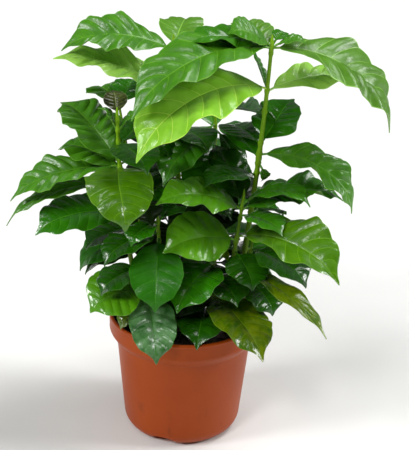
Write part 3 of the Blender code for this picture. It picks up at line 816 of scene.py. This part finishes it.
def make_soil(material):
    """The soil: a plug that fills the pot, with an uneven crumbly top that runs out flat at the wall."""
    clear = WALL + GAP
    side = rounded_base(BASE_RADIUS - clear, clear, BASE_ROUND - clear, INSIDE_STEPS) + shoulder(clear)
    pull_up(SOIL_SIDES, side + [(BAND_RADIUS - clear, SOIL_LEVEL - SOIL_EDGE_DROP)])
    for _ in range(int((BAND_RADIUS - clear) / SOIL_RING) - 1):
        bpy.ops.mesh.inset(thickness=SOIL_RING * MM, depth=0)
    bpy.ops.mesh.poke()
    soil = end_edit("potting_soil", material)
    raise_slots(soil, WALL + GAP)
    for vertex in soil.data.vertices:
        spot = vertex.co / MM
        if spot.z > SOIL_LEVEL - SOIL_SINK:
            away = math.hypot(spot.x, spot.y) / (BAND_RADIUS - clear)
            edge = 1 - max(0.0, (away - FLAT_FROM) / FLAT_OVER)
            vertex.co.z += (ruffled(spot) - SOIL_SINK) * edge * MM
    soil.data.shade_smooth()
    return soil


def make_crumbs(material):
    """Loose crumbs of peat: one clod modelled once, then copied in many sizes and turned."""
    bpy.ops.mesh.primitive_ico_sphere_add(subdivisions=2, radius=1 * MM, location=(0, 0, 0))
    start_edit()
    clod = end_edit("peat_crumbs", material)
    for vertex in clod.data.vertices:
        vertex.co *= 1 + CLOD_RELIEF * noise.noise(vertex.co / MM * CLOD_LUMPS)
    shape = np.array([vertex.co for vertex in clod.data.vertices])
    corners = np.array([polygon.vertices[:] for polygon in clod.data.polygons])
    chance = random.Random(CRUMB_SEED)
    points = []
    faces = []
    for _ in range(CRUMB_COUNT):
        radius = (BAND_RADIUS - CRUMB_MARGIN) * math.sqrt(chance.random())
        turn = chance.uniform(0, 2 * math.pi)
        spot = Vector((radius * math.cos(turn), radius * math.sin(turn), SOIL_LEVEL))
        spot.z += ruffled(spot) - CRUMB_SINK
        size = chance.uniform(*CRUMB_SIZE) ** CRUMB_SIZE_POWER
        squash = (size, size * chance.uniform(*CRUMB_WIDTH), size * chance.uniform(*CRUMB_HEIGHT))
        turned = Matrix.Rotation(chance.uniform(*CRUMB_TURN), 3, "Z")
        tilted = Matrix.Rotation(chance.uniform(*CRUMB_TILT), 3, "X")
        change = turned @ tilted @ Matrix.Diagonal(squash)
        faces.append(corners + len(points) * len(shape))
        points.append(shape @ np.array(change).T + np.array(spot) * MM)
    clod.data.clear_geometry()
    clod.data.from_pydata(np.concatenate(points).tolist(), [], np.concatenate(faces).tolist())
    clod.data.shade_smooth()
    return clod


# Fine leaves. Rows follow the side veins, which leave the midrib and bend towards the tip.
FEW_VEINS, MANY_VEINS = 7, 9  # spaces between side veins, on each side of a short leaf and of a long one
LONG_LEAF = 70
VEIN_HALF = 0.0024  # half the width of a side vein's strip, as a share of the blade
VEIN_NEAR = 0.02  # how near its vein the middle of that strip lies, in spaces between veins
SPACE_ROWS = (0.16, 0.33, 0.5, 0.67, 0.84)
END_ROWS = [0.0, 0.008, 0.03, 0.05, 0.985, 1.0]
PETIOLE_ROWS = (0.0, 0.35, 0.7, 0.9)
MIDRIB_COLUMNS = ((0.03, 0.42), (0.07, 1.05))  # the most as a share of the half width, and in millimetres
COLUMNS = (0.13, 0.22, 0.32, 0.43, 0.54, 0.65, 0.76, 0.86, 0.93, 0.975, 1.0)
VEIN_SKEW = 0.16  # how far a side vein bends forward by the margin, as a share of the blade
VEIN_CURVE = 1.25
OUTLINE_LEAN, OUTLINE_FULL = 0.93, 0.72
DRIP_TIP = 0.6  # how much of the width the drip tip loses
DRIP_TIP_SPAN = (0.8, 0.95)
TIP_HALF = 0.4
SCALLOP = 0.03
FADE = 0.6  # how softly quilting and waves fade towards the blade's ends
QUILT = 0.115  # how high the blade stands between side veins, as a share of its half width
QUILT_SWELL = (0.6, 1.25)
QUILT_ROUND = 0.75
QUILT_START = (0.04, 0.34)
QUILT_END = (0.65, 1.0)
WAVE = 0.10
WAVE_REACH = 2.2
SIDE_DROP = 0.10
TWIST = 0.05
GROOVE_DEPTH, GROOVE_HALF = 0.38, 0.8  # along the midrib
VEIN_DEPTH, VEIN_SOFT = 0.16, 0.12
VEIN_START = (0.03, 0.1)
VEIN_END = (0.8, 1.0)
RIDGE_HEIGHT, RIDGE_TAPER, RIDGE_HALF = 1.0, 0.65, 0.9  # of the midrib, below
VEIN_RIDGE = 1.2
BLADE_THICK = 0.42
MARGIN_THIN = 0.45  # how much thinner the margin is
STALK_END = (0.0, 0.05)
STALK_WIDE = 1.1
TIP_BEND = (0.7, 1.1)  # where along the leaf its tip starts to bend down and would be fully bent
TIP_DROOP = 6


def smooth(low, high, values):
    """Smoothstep from low to high."""
    share = np.clip((values - low) / (high - low), 0, 1)
    return share * share * (3 - 2 * share)


def blade_rows(veins):
    """Where the rows of points lie along a blade that has so many spaces between its side veins."""
    between = [(number + share) / veins for number in range(veins) for share in SPACE_ROWS]
    beside = [number / veins + shift for number in range(1, veins) for shift in (-VEIN_HALF, VEIN_HALF)]
    return sorted(between + beside + END_ROWS)


def leaf_topology(veins):
    """The faces of one fine leaf and what each is: face, vein or underside."""
    blade = blade_rows(veins)
    rows = len(PETIOLE_ROWS) + len(blade)
    columns = 2 * (len(MIDRIB_COLUMNS) + len(COLUMNS)) + 1
    under = rows * columns
    middle = columns // 2
    faces = []
    kinds = []
    row_at = [-1.0] * len(PETIOLE_ROWS) + blade
    for row in range(rows - 1):
        centre = (row_at[row] + row_at[row + 1]) / 2 * veins
        on_vein = abs(centre - round(centre)) < VEIN_NEAR and 0 < round(centre) < veins
        stalk = row < len(PETIOLE_ROWS)
        for column in range(columns - 1):
            a = row * columns + column
            from_middle = min(abs(column - middle), abs(column + 1 - middle))
            pale = stalk or from_middle in (0, middle - 1) or (on_vein and from_middle < middle - 2)
            faces.append((a, a + 1, a + 1 + columns, a + columns))
            kinds.append(VEIN if pale else FACE)
            b = under + a
            faces.append((b, b + columns, b + 1 + columns, b + 1))
            kinds.append(VEIN if stalk or from_middle < 2 else UNDER)
        left = row * columns
        right = left + columns - 1
        faces.append((right, under + right, under + right + columns, right + columns))
        faces.append((left, left + columns, under + left + columns, under + left))
        kinds += [VEIN, VEIN]
    last = (rows - 1) * columns
    for column in range(columns - 1):
        faces.append((column, under + column, under + column + 1, column + 1))
        tip = last + column
        faces.append((tip, tip + 1, under + tip + 1, under + tip))
        kinds += [VEIN, VEIN]
    return np.array(faces), np.array(kinds)


def bell(values, half):
    """A rounded bump, 1 in its middle, that is nearly gone at twice its half width."""
    return np.exp(-((values / half) ** 2))


def leaf_points(seedling, leaf, chance):
    """The points of one fine leaf, in millimetres: a quilted, waved and folded blade on a round stalk."""
    stations = [leaf.length * number / MIDRIB_STEPS for number in range(MIDRIB_STEPS + 1)]
    tracks = np.array(leaf_frames(seedling, leaf, stations)).transpose(1, 0, 2)
    veins = MANY_VEINS if leaf.length > LONG_LEAF else FEW_VEINS
    row = np.array(blade_rows(veins))[:, None]
    fractions = [share for share, _ in MIDRIB_COLUMNS] + list(COLUMNS)
    across = np.array([-share for share in reversed(fractions)] + [0.0] + fractions)[None, :]
    out = np.abs(across)
    along = row + VEIN_SKEW * 4 * row * (1 - row) * out**VEIN_CURVE
    between_veins = np.abs(np.sin(np.pi * veins * row))
    body = np.sin(np.pi * along ** OUTLINE_LEAN) ** OUTLINE_FULL
    half = leaf.width / 2 * body * (1 - DRIP_TIP * smooth(*DRIP_TIP_SPAN, along))
    half = half * (1 + SCALLOP * out * (between_veins - 0.5))
    half = np.maximum(half, np.where(along < 0.5, PETIOLE_HALF, TIP_HALF))
    phase = chance.uniform(0, 2 * math.pi, 8)
    spread = out * half
    for index, (_, most) in enumerate(MIDRIB_COLUMNS):
        for column in (len(fractions) - 1 - index, len(fractions) + 1 + index):
            spread[:, column] = np.minimum(spread[:, column], most)
    fold = math.radians(leaf.fold)
    sideways = np.sign(across) * spread * math.cos(fold)
    envelope = np.sin(np.pi * along) ** FADE
    bumps = chance.uniform(*QUILT_SWELL, (2, veins + 1))
    cell = (row * veins).astype(int)
    quilt = between_veins**QUILT_ROUND * np.where(across < 0, bumps[0][cell], bumps[1][cell])
    quilt = quilt * smooth(*QUILT_START, out) * (1 - 0.5 * smooth(*QUILT_END, out))
    waves = 0.0
    kinds = (1.4, 0.7), (veins / 2.6, 0.9), (veins, 0.16)  # (how many along the blade, how strong)
    for number, (count, strength) in enumerate(kinds):
        shift = np.where(across < 0, phase[number], phase[number + 3])
        waves = waves + strength * np.sin(2 * np.pi * count * row + shift)
    relief = TONES[leaf.tone][QUILTING]
    lift = spread * math.sin(fold) + half * QUILT * relief * (0.5 + 0.5 * leaf.ruffle) * quilt * envelope
    lift = lift + leaf.ruffle * half * WAVE * waves * out**WAVE_REACH * envelope
    lift = lift - half * SIDE_DROP * out**2 * envelope
    lift = lift + half * TWIST * across * np.sin(2 * np.pi * row + phase[6])
    groove = GROOVE_DEPTH * bell(spread, GROOVE_HALF) * envelope
    vein_dip = VEIN_DEPTH * bell(between_veins, VEIN_SOFT) * smooth(*VEIN_START, out)
    vein_dip = vein_dip * (1 - smooth(*VEIN_END, out)) * envelope * (0.4 + 0.6 * relief)
    thick = BLADE_THICK * (1 - MARGIN_THIN * out**3)
    ridge = (RIDGE_HEIGHT - RIDGE_TAPER * along) * bell(spread, RIDGE_HALF) + vein_dip * VEIN_RIDGE
    stalk_radius = PETIOLE_HALF * np.sqrt(1 - out**2)
    onset = smooth(*STALK_END, along)
    top = stalk_radius * (1 - onset) + (lift - groove - vein_dip + thick / 2) * onset
    low = -stalk_radius * (1 - onset) + (lift - thick / 2 - ridge) * onset
    stalk = np.array(PETIOLE_ROWS)[:, None] * PETIOLE + 0 * across
    stalk_top = stalk_radius + 0 * stalk
    distance = np.concatenate([stalk, PETIOLE + (leaf.length - PETIOLE) * along])
    sideways = np.concatenate([PETIOLE_HALF * STALK_WIDE * across + 0 * stalk, sideways])
    bend = smooth(*TIP_BEND, distance / leaf.length) ** 1.5
    place = distance / leaf.length * MIDRIB_STEPS
    spot, side, normal = [
        np.stack([np.interp(place, range(MIDRIB_STEPS + 1), track[:, axis]) for axis in range(3)], axis=-1)
        for track in tracks
    ]
    sheets = []
    for height in (np.concatenate([stalk_top, top]), np.concatenate([-stalk_top, low])):
        sheet = spot + side * sideways[..., None] + normal * (height - TIP_DROOP * bend)[..., None]
        sheets.append(sheet.reshape(-1, 3))
    return np.concatenate(sheets)


def mesh_piece(name, points, faces, kinds, materials, angle):
    """A piece from arrays of points in millimetres and four-sided faces, smooth but for its sharp margins."""
    mesh = bpy.data.meshes.new(name)
    mesh.from_pydata((points * MM).tolist(), [], faces.tolist())
    for material in materials:
        mesh.materials.append(material)
    mesh.polygons.foreach_set("material_index", kinds.astype(np.int32))
    mesh.validate()
    piece = bpy.data.objects.new(name, mesh)
    bpy.context.scene.collection.objects.link(piece)
    shade(piece, angle)
    return piece


def make_leaves(seedling, leaves, materials, topology):
    """All the fine leaves of one seedling, as one piece."""
    tones = list(TONES)
    points = []
    all_faces = []
    all_kinds = []
    for leaf in leaves:
        chance = np.random.default_rng(int(leaf.height * 1000 + leaf.azimuth * 7 + leaf.length))
        faces, kinds = topology[leaf.length > LONG_LEAF]
        start = sum(len(part) for part in points)
        points.append(leaf_points(seedling, leaf, chance))
        all_faces.append(faces + start)
        all_kinds.append(kinds + 3 * tones.index(leaf.tone))
    return mesh_piece(
        seedling.name + "_leaves", np.concatenate(points), np.concatenate(all_faces),
        np.concatenate(all_kinds), materials, angle=50,
    )


def make_stem(seedling, leaves, material):
    """A fine stem: swollen at the nodes where leaves stand, with uneven bark, and a pointed bud on top."""
    sides = FINE_SIDES
    low = SOIL_LEVEL - STEM_BURIED
    high = seedling.top[2]
    count = int((high - low) / FINE_STEP)
    heights = [low + (high - low) * number / count for number in range(count + 1)]
    turns = [2 * math.pi * number / sides for number in range(sides)]
    nodes = sorted({round(leaf.height / NODE_STEP) * NODE_STEP for leaf in leaves})
    points = []
    for height in heights:
        centre = stem_point(seedling, height)
        radius = stem_radius(seedling, max(height, SOIL_LEVEL))
        for node in nodes:
            swell = NODE_SWELL * math.exp(-(((height - node) / NODE_SPREAD) ** 2))
            radius += swell * (NODE_ABOVE if height > node else 1.0)
        for turn in turns:
            across = Vector((math.cos(turn), math.sin(turn), 0))
            up = height * BARK_UP + seedling.girth * BARK_APART
            spot = Vector((math.cos(turn) * BARK_ROUND, math.sin(turn) * BARK_ROUND, up))
            relief = 1 + BARK_RELIEF * noise.noise(spot) + FINE_RELIEF * noise.noise(spot * FINER)
            points.append(centre + across * radius * relief)
    tip = stem_point(seedling, high)
    for share in BUD_RINGS:
        radius = stem_radius(seedling, high) * (1 - share) ** BUD_ROUND + BUD_END
        for turn in turns:
            reach = (math.cos(turn) * radius, math.sin(turn) * radius * BUD_FLAT, BUD_LENGTH * share)
            points.append(tip + Vector(reach))
    rings = len(points) // sides
    grid = np.arange(rings * sides).reshape(rings, sides)
    after = np.roll(grid, -1, axis=1)
    faces = np.stack([grid[:-1], after[:-1], after[1:], grid[1:]], axis=-1).reshape(-1, 4)
    ends = []
    for ring, flip in ((grid[0], True), (grid[-1], False)):
        for number in range(sides // 2 - 1):
            quad = [ring[number], ring[number + 1], ring[sides - 2 - number], ring[sides - 1 - number]]
            ends.append(quad[::-1] if flip else quad)
    faces = np.concatenate([faces, np.array(ends)])
    kinds = np.zeros(len(faces), int)
    return mesh_piece(seedling.name + "_shoot", np.array(points), faces, kinds, [material], angle=60)


# Studio. Each light: its name, the direction it comes from, its strength, and how wide it looks in degrees.
LIGHTS = (
    ("left softbox", (-0.8, -0.3, 0.5), 1.55, 15),
    ("right softbox", (0.85, -0.05, 0.5), 1.5, 15),
    ("overhead softbox", (0.4, 0.14, 0.9), 1.6, 26),
    ("key softbox", (-0.38, -0.61, 0.7), 0.7, 12),
)
FRONT_FILL = ("front fill", (-0.1, -0.42, 0.9), 0.6, 40)
LIGHT_AWAY = 2

# The camera, in metres and radians
CAMERA_PLACE = (0, -0.684, 0.4564)
CAMERA_TURN = -0.0198
CAMERA_DIP = 0.393
CAMERA_ROLL = 0.0359
LENS = 77.04


def soft_sun(name, direction, strength, spread):
    """A broad far light that comes from a direction."""
    light = bpy.data.lights.new(name, "SUN")
    light.energy = strength
    light.angle = math.radians(spread)
    lamp = bpy.data.objects.new(name, light)
    bpy.context.scene.collection.objects.link(lamp)
    lamp.location = Vector(direction) * LIGHT_AWAY
    lamp.rotation_euler = Vector(direction).to_track_quat("Z", "Y").to_euler()
    return lamp


def make_world():
    """Soft light from all round: a white studio that is darker behind the camera."""
    world = bpy.data.worlds.new("soft studio")
    bpy.context.scene.world = world
    world.use_nodes = True
    tree = world.node_tree
    place = tree.nodes.new("ShaderNodeTexCoord").outputs["Generated"]
    split = add(tree, "ShaderNodeSeparateXYZ", [(place, "Vector")])
    share = share_of(tree, split.outputs["Y"], -0.8, 0.6)
    light = ramp_of(tree, share, ((0.0, "#303030"), (1.0, "#AAAAAA")))
    background = tree.nodes["Background"]
    tree.links.new(light, background.inputs["Color"])
    fill(background, Strength=0.34)


def make_studio():
    """The floor, the soft light and the camera."""
    bpy.ops.mesh.primitive_grid_add(x_subdivisions=8, y_subdivisions=8, size=16, location=(0, 0, 0))
    start_edit()
    floor = end_edit("studio_floor", floor_material())
    make_world()
    for light in LIGHTS:
        soft_sun(*light)
    front_fill = soft_sun(*FRONT_FILL)
    front_fill.visible_glossy = False  # a polarised fill, which leaves no veil on the waxy leaves
    camera_data = bpy.data.cameras.new("camera")
    camera_data.sensor_width = 36
    camera_data.lens = LENS
    camera_data.clip_start = 0.01
    camera = bpy.data.objects.new("camera", camera_data)
    bpy.context.scene.collection.objects.link(camera)
    camera.location = CAMERA_PLACE
    turn = Matrix.Rotation(CAMERA_TURN, 4, "Z") @ Matrix.Rotation(math.radians(90) - CAMERA_DIP, 4, "X")
    camera.rotation_euler = (turn @ Matrix.Rotation(CAMERA_ROLL, 4, "Z")).to_euler()
    bpy.context.scene.camera = camera
    bpy.context.scene.view_settings.view_transform = "Standard"


def main():
    pot = make_pot(pot_material())
    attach(pot, "root")
    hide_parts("pot")
    peat = peat_material()
    soil = make_soil(peat)
    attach(soil, "root")
    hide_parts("soil")
    crumbs = make_crumbs(peat)
    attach(crumbs, "root")
    bark = stem_material()
    greens = leaf_materials()
    topology = {False: leaf_topology(FEW_VEINS), True: leaf_topology(MANY_VEINS)}
    kept = placed_leaves()
    for seedling in SEEDLINGS:
        leaves = kept[seedling.name]
        shoot = make_stem(seedling, leaves, bark)
        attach(shoot, "root")
        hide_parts(seedling.name + "_stem")
        foliage = make_leaves(seedling, leaves, greens, topology)
        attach(foliage, "root")
        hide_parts(seedling.name + "_foliage")
    make_studio()


main()
